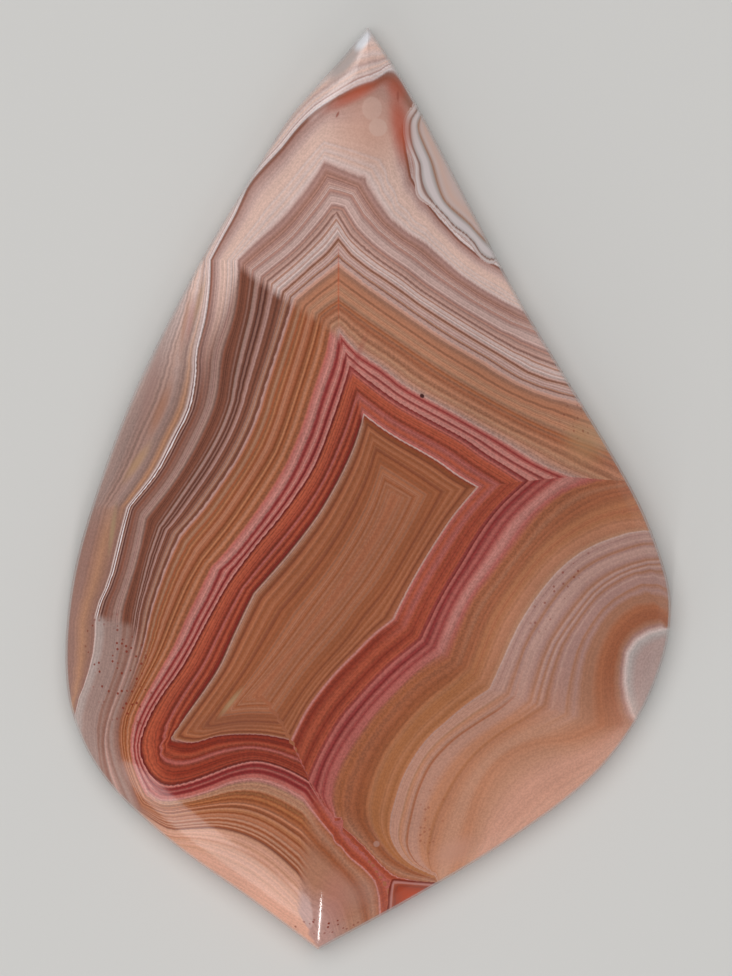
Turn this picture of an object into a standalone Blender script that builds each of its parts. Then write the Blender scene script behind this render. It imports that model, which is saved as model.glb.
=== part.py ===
"""A laguna agate cabochon: one polished, drop-shaped stone with a domed face and a flat back.

The stone lies on its back. +Z points up through the dome and +Y to the long tip. The origin is
on the back, under the middle of the outline's bounding box. Units are metres.
"""

import math

import bmesh
import bpy
from mathutils import Vector

MM = 0.001

# The driving sizes of the stone.
LENGTH = 46.0 * MM  # tip to tip, along Y
THICKNESS = 5.0 * MM  # from the back to the crown of the dome
BACK_BEVEL = 0.35 * MM  # the 45 degree bevel that keeps the back's edge from chipping
GIRDLE_TOP = 1.5 * MM  # the height at which the wall ends and the dome begins
GIRDLE_LEAN = 0.12 * MM  # how far the wall leans inwards by then

# The dome climbs steeply inside the girdle, then flattens into a low crown.
CROWN_RISE = 0.8 * MM  # the last, gentle part of the climb
CROWN_REACH = 14.15 * MM  # from a flank to the highest place on the dome
SHOULDER_REACH = 2.4 * MM  # the distance over which the shoulder loses most of its slope
RIDGE_ROUNDING = 0.22 * MM  # softens the ridge that runs inwards from each tip

# The outline in millimetres: both flanks run from the long tip down to the blunt tip.
LONG_TIP = (0.0, 23.0)
RIGHT_FLANK = [
    (1.4, 20.9), (2.7, 18.65), (5.1, 14.05), (7.3, 9.85), (9.35, 6.4),
    (12.05, 1.95), (13.7, -1.1), (14.8, -4.05), (15.1, -6.1),
    (14.7, -8.55), (13.4, -11.55), (11.0, -14.55), (7.0, -17.55), (2.1, -20.5),
]
BLUNT_TIP = (-2.5, -23.0)
LEFT_FLANK = [
    (-1.4, 21.35), (-2.8, 19.8), (-4.05, 18.3), (-5.9, 15.4), (-7.8, 12.3), (-9.45, 9.3),
    (-11.6, 4.95), (-13.35, 0.4), (-14.65, -4.1), (-15.1, -8.3),
    (-14.65, -11.55), (-13.05, -14.55), (-9.97, -17.5), (-5.85, -20.5),
]
DOME_MIDDLE = (-0.2, -5.2)  # the highest place, which the dome's rings shrink towards

# How finely the solid is faceted.
POINTS_PER_FLANK = 66
STEPS_PER_SPAN = 16
DOME_RINGS = 14
RING_CROWDING = 1.5  # above 1, the rings crowd towards the girdle, where the dome curves most
LAST_RING = 0.08  # the size of the innermost ring, as a share of the girdle
SMOOTH_UP_TO = math.radians(35)

AGATE_ORANGE = (0.47, 0.17, 0.085, 1.0)
POLISH_ROUGHNESS = 0.12


def clear_scene():
    for item in list(bpy.data.objects):
        bpy.data.objects.remove(item)


def smooth_curve(points):
    """A curve through every point, with each span bent by the points on either side of it."""
    points = [Vector(point) for point in points]
    before = 2 * points[0] - points[1]
    after = 2 * points[-1] - points[-2]
    padded = [before, *points, after]
    curve = []
    for a, b, c, d in zip(padded, padded[1:], padded[2:], padded[3:]):
        for step in range(STEPS_PER_SPAN):
            t = step / STEPS_PER_SPAN
            even = 2 * b + (c - a) * t
            bent = (2 * a - 5 * b + 4 * c - d) * t ** 2 + (3 * b - a - 3 * c + d) * t ** 3
            curve.append((even + bent) / 2)
    curve.append(points[-1])
    return curve


def evenly_spaced(curve, count):
    """The given number of points along a curve, at equal distances, with both of its ends."""
    travelled = [0.0]
    for a, b in zip(curve, curve[1:]):
        travelled.append(travelled[-1] + (b - a).length)
    spaced = []
    span = 0
    for index in range(count):
        wanted = travelled[-1] * index / (count - 1)
        while span < len(curve) - 2 and travelled[span + 1] < wanted:
            span += 1
        share = (wanted - travelled[span]) / (travelled[span + 1] - travelled[span])
        spaced.append(curve[span].lerp(curve[span + 1], share))
    return spaced


def outline_flanks():
    """Both flanks from tip to tip, and the dome's middle, centred and at the stone's length."""
    right = evenly_spaced(smooth_curve([LONG_TIP, *RIGHT_FLANK, BLUNT_TIP]), POINTS_PER_FLANK)
    left = evenly_spaced(smooth_curve([LONG_TIP, *LEFT_FLANK, BLUNT_TIP]), POINTS_PER_FLANK)
    xs = [point.x for point in right + left]
    ys = [point.y for point in right + left]
    centre = Vector((max(xs) + min(xs), max(ys) + min(ys))) / 2
    scale = LENGTH / (max(ys) - min(ys))
    right = [(point - centre) * scale for point in right]
    left = [(point - centre) * scale for point in left]
    middle = (Vector(DOME_MIDDLE) - centre) * scale
    return right, left, middle


def shifted_inwards(ring, distance):
    """The same anticlockwise ring with each side moved inwards and its corners mitred."""
    shifted = []
    for index, point in enumerate(ring):
        into = (point - ring[index - 1]).normalized()
        out_of = (ring[(index + 1) % len(ring)] - point).normalized()
        before = Vector((-into.y, into.x))
        after = Vector((-out_of.y, out_of.x))
        mitre = (before + after) / (1 + before.dot(after))
        shifted.append(point + mitre * distance)
    return shifted


def distance_to(curve, point):
    nearest = math.inf
    for a, b in zip(curve, curve[1:]):
        along = b - a
        share = max(0.0, min(1.0, (point - a).dot(along) / along.length_squared))
        nearest = min(nearest, (point - a - along * share).length)
    return nearest


def climb(distance):
    """How far the dome has climbed above the girdle at this distance from one flank."""
    lost_to_ridge = RIDGE_ROUNDING / 4
    shoulder_rise = THICKNESS - GIRDLE_TOP - CROWN_RISE + lost_to_ridge
    inwards = min(distance / CROWN_REACH, 1.0)
    shoulder = shoulder_rise * (1 - math.exp(-distance / SHOULDER_REACH))
    return shoulder + CROWN_RISE * (1 - (1 - inwards) ** 2)


def dome_height(point, right, left):
    """Each flank was ground on its own. The lower of the two climbs stands, with a soft ridge."""
    right_climb = climb(distance_to(right, point))
    left_climb = climb(distance_to(left, point))
    lower = min(right_climb, left_climb)
    rounding = min(RIDGE_ROUNDING, lower)
    overlap = rounding - abs(right_climb - left_climb)
    if overlap > 0:
        lower -= overlap ** 2 / (4 * rounding)
    return GIRDLE_TOP + lower


def raise_band(bm, rim, places):
    """Extrudes the closed rim by one band, moves its new edge to the places, and returns that."""
    pairs = zip(rim, rim[1:] + rim[:1])
    edges = [bm.edges.get(pair) for pair in pairs]
    made = bmesh.ops.extrude_edge_only(bm, edges=edges)["geom"]
    fresh = {item for item in made if isinstance(item, bmesh.types.BMVert)}
    risen = []
    for vert, place in zip(rim, places):
        copy = next(other for other in neighbours(vert) if other in fresh)
        copy.co = place
        risen.append(copy)
    return risen


def neighbours(vert):
    return [edge.other_vert(vert) for edge in vert.link_edges]


def at_height(ring, height):
    return [(point.x, point.y, height) for point in ring]


def model_stone():
    right, left, middle = outline_flanks()
    widest = left + right[-2:0:-1]
    back = shifted_inwards(widest, BACK_BEVEL)
    girdle = shifted_inwards(widest, GIRDLE_LEAN)

    bm = bmesh.new()
    rim = [bm.verts.new(place) for place in at_height(back, 0.0)]
    bm.faces.new(rim)
    rim = raise_band(bm, rim, at_height(widest, BACK_BEVEL))
    rim = raise_band(bm, rim, at_height(girdle, GIRDLE_TOP))
    for ring in range(1, DOME_RINGS + 1):
        inwards = (1 - LAST_RING) * (ring / DOME_RINGS) ** RING_CROWDING
        shrunk = [point.lerp(middle, inwards) for point in girdle]
        dome = [(point.x, point.y, dome_height(point, right, left)) for point in shrunk]
        rim = raise_band(bm, rim, dome)
    cap = bm.faces.new(rim)
    crown = bmesh.ops.poke(bm, faces=[cap])["verts"][0]
    crown.co.z = dome_height(middle, right, left)
    bmesh.ops.recalc_face_normals(bm, faces=bm.faces[:])
    return bm


def agate_material():
    material = bpy.data.materials.new("polished_agate")
    material.use_nodes = True
    shader = material.node_tree.nodes["Principled BSDF"]
    shader.inputs["Base Color"].default_value = AGATE_ORANGE
    shader.inputs["Roughness"].default_value = POLISH_ROUGHNESS
    shader.inputs["Metallic"].default_value = 0.0
    return material


def build_stone():
    mesh = bpy.data.meshes.new("agate_cabochon")
    bm = model_stone()
    bm.to_mesh(mesh)
    bm.free()
    mesh.materials.append(agate_material())
    mesh.shade_smooth()
    mesh.set_sharp_from_angle(angle=SMOOTH_UP_TO)
    stone = bpy.data.objects.new("agate_cabochon", mesh)
    bpy.context.scene.collection.objects.link(stone)


clear_scene()
build_stone()
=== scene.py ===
# %% [markdown]
# A laguna agate cabochon is one piece of banded chalcedony, cut to a freeform drop, domed and
# polished. Its shape is simple and its bands are not, so most of this lesson is about the bands.
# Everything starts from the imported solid, the frame.

# %% Load the frame
import math

import bmesh
import bpy
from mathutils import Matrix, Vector, interpolate, kdtree
from mathutils.bvhtree import BVHTree


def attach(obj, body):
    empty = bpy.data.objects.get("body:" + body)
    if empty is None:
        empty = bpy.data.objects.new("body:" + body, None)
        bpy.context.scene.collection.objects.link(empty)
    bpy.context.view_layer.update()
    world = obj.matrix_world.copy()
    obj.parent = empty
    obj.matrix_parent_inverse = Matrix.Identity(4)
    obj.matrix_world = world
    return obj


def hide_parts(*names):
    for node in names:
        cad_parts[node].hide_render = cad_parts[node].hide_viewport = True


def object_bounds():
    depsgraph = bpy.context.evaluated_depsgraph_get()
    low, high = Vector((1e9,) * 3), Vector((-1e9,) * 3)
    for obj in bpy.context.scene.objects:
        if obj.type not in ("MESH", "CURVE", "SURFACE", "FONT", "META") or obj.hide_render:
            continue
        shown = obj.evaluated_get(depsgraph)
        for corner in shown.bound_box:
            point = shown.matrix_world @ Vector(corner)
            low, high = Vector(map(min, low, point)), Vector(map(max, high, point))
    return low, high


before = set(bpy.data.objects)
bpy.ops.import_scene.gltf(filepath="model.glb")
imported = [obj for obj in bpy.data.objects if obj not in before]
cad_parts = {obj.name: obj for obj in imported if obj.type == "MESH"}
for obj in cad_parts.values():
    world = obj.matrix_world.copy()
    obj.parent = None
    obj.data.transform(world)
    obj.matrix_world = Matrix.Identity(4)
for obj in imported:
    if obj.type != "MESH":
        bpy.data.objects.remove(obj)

MM = 0.001
cad_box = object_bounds()
STONE_LENGTH = cad_box[1].y - cad_box[0].y
print("the packed stone in mm", [round(side / MM, 2) for side in cad_box[1] - cad_box[0]])

# %% [markdown]
# The photograph looks straight down at the stone, which lies on its flat back. A long lens high
# above gives the same nearly parallel view. The bands will be placed by pixels of that photograph,
# so this step also says which pixel any point of the stone falls on. The number of pixels from tip
# to tip gives the size of one.

# %% Look straight down
PHOTO_WIDTH, PHOTO_HEIGHT = 732, 976
TIP_TO_TIP_PX = 923
STONE_MIDDLE_PX = Vector((368.0, 488.5))
PIXEL = STONE_LENGTH / TIP_TO_TIP_PX
EYE_HEIGHT = 600 * MM
GIRDLE_HEIGHT = 1.0 * MM  # the camera's scale is right at about this height
SENSOR = 36.0
NEAREST, FARTHEST = 0.05, 10.0  # what the camera sees, in metres

photo_middle = Vector((PHOTO_WIDTH, PHOTO_HEIGHT)) / 2
eye = Vector((
    (photo_middle.x - STONE_MIDDLE_PX.x) * PIXEL,
    (STONE_MIDDLE_PX.y - photo_middle.y) * PIXEL,
    EYE_HEIGHT,
))
camera = bpy.data.objects.new("camera", bpy.data.cameras.new("camera"))
bpy.context.scene.collection.objects.link(camera)
bpy.context.scene.camera = camera
camera.location = eye
camera.data.sensor_width = SENSOR
camera.data.lens = SENSOR * (EYE_HEIGHT - GIRDLE_HEIGHT) / (PHOTO_HEIGHT * PIXEL)
camera.data.clip_start = NEAREST
camera.data.clip_end = FARTHEST


def seen_at(place):
    """The pixel of the photograph on which a point of the stone falls."""
    nearness = (EYE_HEIGHT - GIRDLE_HEIGHT) / (EYE_HEIGHT - place.z)
    across = (place.x - eye.x) * nearness / PIXEL
    up = (place.y - eye.y) * nearness / PIXEL
    return Vector((photo_middle.x + across, photo_middle.y - up))


print("one pixel in mm", round(PIXEL / MM, 4), "lens", round(camera.data.lens))

# %% [markdown]
# Smooth lines through a few points serve twice here, for the stone's outline and for its bands.
# Blender's curves could draw them, but a short formula, the Catmull-Rom spline, keeps the points
# and the line in one place. Each span is bent by the points on either side of it.

# %% Draw smooth lines
STEPS_PER_SPAN = 12


def smooth_line(points):
    points = [Vector(point) for point in points]
    padded = [2 * points[0] - points[1], *points, 2 * points[-1] - points[-2]]
    line = []
    for a, b, c, d in zip(padded, padded[1:], padded[2:], padded[3:]):
        for step in range(STEPS_PER_SPAN):
            t = step / STEPS_PER_SPAN
            even = 2 * b + (c - a) * t
            bent = (2 * a - 5 * b + 4 * c - d) * t ** 2 + (3 * b - a - 3 * c + d) * t ** 3
            line.append((even + bent) / 2)
    line.append(points[-1])
    return line


def evenly_spaced(line, count):
    """The given number of points along a line, at equal distances, with both of its ends."""
    travelled = [0.0]
    for a, b in zip(line, line[1:]):
        travelled.append(travelled[-1] + (b - a).length)
    if travelled[-1] == 0:
        return [line[0]] * count
    spaced = []
    span = 0
    for index in range(count):
        wanted = travelled[-1] * index / (count - 1)
        while span < len(line) - 2 and travelled[span + 1] < wanted:
            span += 1
        length = travelled[span + 1] - travelled[span]
        share = (wanted - travelled[span]) / length if length else 0.0
        spaced.append(line[span].lerp(line[span + 1], share))
    return spaced


# %% [markdown]
# The outline comes from the solid: its widest ring of points, put in order by their direction from
# the middle. Both tips are sharp, so each flank gets a smooth line of its own. A tree of closely
# spaced points along each flank then tells how far any place is from that flank.

# %% Take the outline from the solid
POINTS_PER_FLANK = 260
TREE_POINTS = 4000
DOME_MIDDLE = Vector((-0.2 * MM, -5.2 * MM))

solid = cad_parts["agate_cabochon"].data
places = [vertex.co for vertex in solid.vertices]
widest_height = max(places, key=lambda place: place.x).z
ring = {(round(p.x, 7), round(p.y, 7)) for p in places if abs(p.z - widest_height) < 0.01 * MM}
ring = sorted((Vector(point) for point in ring),
              key=lambda point: math.atan2(*(point - DOME_MIDDLE).yx))
long_tip = ring.index(max(ring, key=lambda point: point.y))
ring = ring[long_tip:] + ring[:long_tip]
blunt_tip = ring.index(min(ring, key=lambda point: point.y))
left_flank = evenly_spaced(smooth_line(ring[:blunt_tip + 1]), POINTS_PER_FLANK)
right_flank = evenly_spaced(smooth_line([*ring[blunt_tip:], ring[0]]), POINTS_PER_FLANK)


def flank_tree(flank):
    points = evenly_spaced(flank, TREE_POINTS)
    tree = kdtree.KDTree(TREE_POINTS)
    for index, point in enumerate(points):
        tree.insert((point.x, point.y, 0), index)
    tree.balance()
    return tree


flank_trees = [flank_tree(left_flank), flank_tree(right_flank)]
print("outline points", len(ring), "widest at mm", round(widest_height / MM, 2))

# %% [markdown]
# The dome is ground one flank at a time, so it climbs steeply inside the girdle, flattens into a
# low crown, and keeps a soft ridge at each tip where the two flanks meet. The solid has the same
# climb in few facets. Here the same rule is followed in fine rings, so that gloss runs smoothly.
# The skin is one run of rings: from the middle of the back outwards, up the wall and in over the
# dome. Each ring is the last one extruded, and a poked face closes either end. The flat back gets
# rings too, because the bands will be noted at every point and the back shows them as well.

# %% Model the stone
THICKNESS = cad_box[1].z
BACK_BEVEL = widest_height
GIRDLE_TOP = 1.5 * MM
GIRDLE_LEAN = 0.12 * MM
CROWN_RISE = 0.8 * MM
CROWN_REACH = 14.15 * MM
SHOULDER_REACH = 2.4 * MM
RIDGE_ROUNDING = 0.22 * MM
DOME_RINGS = 100
BACK_RINGS = 80
TIP_GAP = 0.8 * MM
RING_CROWDING = 1.3
LAST_RING = 0.01
SMOOTH_UP_TO = math.radians(42)


def climb(distance):
    shoulder_rise = THICKNESS - GIRDLE_TOP - CROWN_RISE + RIDGE_ROUNDING / 4
    inwards = min(distance / CROWN_REACH, 1.0)
    shoulder = shoulder_rise * (1 - math.exp(-distance / SHOULDER_REACH))
    return shoulder + CROWN_RISE * (1 - (1 - inwards) ** 2)


def on_dome(point):
    climbs = [climb(tree.find((point.x, point.y, 0))[2]) for tree in flank_trees]
    lower = min(climbs)
    rounding = min(RIDGE_ROUNDING, lower)
    overlap = rounding - abs(climbs[0] - climbs[1])
    if overlap > 0:
        lower -= overlap ** 2 / (4 * rounding)
    return point.x, point.y, GIRDLE_TOP + lower


def shifted_inwards(ring, distance):
    """The same anticlockwise ring with each side moved inwards and its corners mitred."""
    shifted = []
    for index, point in enumerate(ring):
        into = (point - ring[index - 1]).normalized()
        out_of = (ring[(index + 1) % len(ring)] - point).normalized()
        mitre = (into.orthogonal() + out_of.orthogonal()) / (1 + into.dot(out_of))
        shifted.append(point + mitre * distance)
    return shifted


def extruded(bm, row, places, closed):
    """Extrudes a row of points by one band, moves its new edge to the places and returns that."""
    following = row[1:] + row[:1] if closed else row[1:]
    edges = [bm.edges.get(pair) for pair in zip(row, following)]
    made = bmesh.ops.extrude_edge_only(bm, edges=edges)["geom"]
    fresh = {item for item in made if isinstance(item, bmesh.types.BMVert)}
    moved = []
    for vert, place in zip(row, places):
        others = [edge.other_vert(vert) for edge in vert.link_edges]
        copy = next(other for other in others if other in fresh)
        copy.co = place
        moved.append(copy)
    return moved


def at_height(ring, height):
    return [(point.x, point.y, height) for point in ring]


def clear_of_tips(flank):
    """The flank without the points so near a tip that the bevel would fold over itself there."""
    tips = (flank[0], flank[-1])
    kept = [point for point in flank if min((point - tip).length for tip in tips) > TIP_GAP]
    return [flank[0], *kept, flank[-1]]


def drawn_in(ring, index, rings):
    """The ring moved towards the middle of the dome, as the given one of a number of rings."""
    inwards = (1 - LAST_RING) * (index / rings) ** RING_CROWDING
    return [point.lerp(DOME_MIDDLE, inwards) for point in ring]


def model_stone():
    widest = clear_of_tips(left_flank) + clear_of_tips(right_flank)[1:-1]
    back = shifted_inwards(widest, BACK_BEVEL)
    girdle = shifted_inwards(widest, GIRDLE_LEAN)
    rings = [at_height(drawn_in(back, index, BACK_RINGS), 0.0) for index in range(BACK_RINGS, -1, -1)]
    rings += [at_height(widest, BACK_BEVEL), at_height(girdle, GIRDLE_TOP)]
    for index in range(1, DOME_RINGS + 1):
        rings.append([on_dome(point) for point in drawn_in(girdle, index, DOME_RINGS)])

    bm = bmesh.new()
    rim = [bm.verts.new(place) for place in rings[0]]
    ends = [bm.faces.new(rim)]
    for places in rings[1:]:
        rim = extruded(bm, rim, places, closed=True)
    ends.append(bm.faces.new(rim))
    middles = bmesh.ops.poke(bm, faces=ends)["verts"]
    crown = max(middles, key=lambda vert: vert.co.z)
    crown.co = on_dome(DOME_MIDDLE)
    bmesh.ops.recalc_face_normals(bm, faces=bm.faces[:])
    return bm


mesh = bpy.data.meshes.new("agate_stone")
bm = model_stone()
bm.to_mesh(mesh)
bm.free()
mesh.shade_smooth()
mesh.set_sharp_from_angle(angle=SMOOTH_UP_TO)
stone = bpy.data.objects.new("agate_stone", mesh)
bpy.context.scene.collection.objects.link(stone)
print("stone faces", len(mesh.polygons))

# %% [markdown]
# Agate fills a hollow in lava from its walls inwards, layer upon layer, and every wall's layers
# stay parallel to it. Where the layers of two walls meet they make a sharp corner, and the corners
# line up in seams. So a band is told by how far the layers had grown: 1 at the white line near the
# outside, 10 at the pale line round the centre, 13 at the eye. The lines that the layers had
# reached are given here for a few of these levels. Some places were given one by one, and more than
# half were measured along a band at even steps. The seams hold the places that two walls share.

# %% Say how the bands grew
CREST = {8: (339.5, 332), 9: (350, 366), 10: (364, 415), 11: (377, 451), 12: (388, 492), 13: (394, 498)}
SEAMS = {
    "north_left": {0: (330, 20), 1: (341, 92), 1.5: (328, 136), 2: (324, 162.5), 3: (330, 189),
     4: (338.3, 216), 5: (338.5, 238.5), 6: (338.5, 261), 7: (338.7, 301), 8: (339.5, 332)},
    "north_right": {0: (440, 60), 1: (417, 100), 1.5: (386, 153), 2: (363, 179), 3: (352, 195),
     4: (338.5, 216), 5: (338.5, 238.5), 6: (338.5, 261), 7: (338.7, 301)} | CREST,
    "shoulder": {0: (190, 235), 1: (209.7, 259.7), 2: (238, 260), 3: (252, 270), 5: (283, 292),
     6: (293, 298), 7: (319, 315)} | CREST,
    "east": {0: (780, 480), 1: (760, 480), 2: (745, 480), 3: (730, 480), 4: (715, 480), 5: (700, 480),
     6: (680, 479), 7: (655, 478), 7.5: (627, 480), 8: (571, 477), 9: (528, 481), 10: (477, 487),
     11: (440, 492), 12: (402, 499), 13: (394, 498)},
    "crook": {0: (72, 507), 1: (130.5, 506.5), 2: (145.5, 518), 3: (157, 525.5), 5: (171, 532),
     6: (178.5, 535.5), 7: (202, 558), 8: (220, 570), 9: (232.5, 577), 10: (254, 593), 11: (282, 611),
     12: (315, 618), 13: (322, 613)},
    "waist": {0: (680, 735), 1: (640, 726), 2: (602, 726), 3: (566, 714), 4: (537, 704), 5: (513, 696),
     6: (490, 689), 7: (468, 668), 7.5: (452, 662), 8: (441, 652), 9: (421, 640), 10: (393, 619),
     11: (362, 616), 12: (338, 603), 13: (330, 603)},
    "heel": {0: (100, 858), 1: (112, 842), 2: (121, 834), 3: (126, 828), 5: (134, 817), 6: (139, 810),
     7: (143, 803), 8: (149, 791), 9: (156, 781), 10: (169, 739.5), 11: (207, 726), 12: (246, 699),
     13: (254, 697)},
    "toe_left": {0: (330, 990), 1: (325, 972), 2: (320, 956), 3: (315, 940), 5: (296, 908), 6: (297, 871),
     7: (300, 833), 8: (303, 798), 9: (309, 782), 10: (291, 741), 11: (281, 722), 12: (264, 698),
     13: (254, 697)},
    "toe_right": {0: (470, 960), 1: (450, 940), 2: (444, 920), 3: (440, 890), 4: (424, 845), 5: (407, 828),
     6: (391, 815), 7: (369, 806), 7.5: (346, 806), 8: (330, 800), 9: (309, 782), 10: (291, 741),
     11: (281, 722), 12: (264, 698), 13: (254, 697)},
    "foot_left": {0: (345, 1000), 1: (340, 985), 2: (335, 970), 3: (328, 955), 5: (316, 945), 6: (350, 940),
     7: (366, 935), 8: (380, 935), 9: (400, 925)},
    "foot_right": {0: (505, 950), 1: (500, 940), 2: (498, 930), 3: (495, 920), 4: (490, 910), 5: (485, 903),
     6: (480, 900), 7: (475, 897), 7.5: (470, 895), 8: (465, 893), 9: (430, 905)},
}
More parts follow.
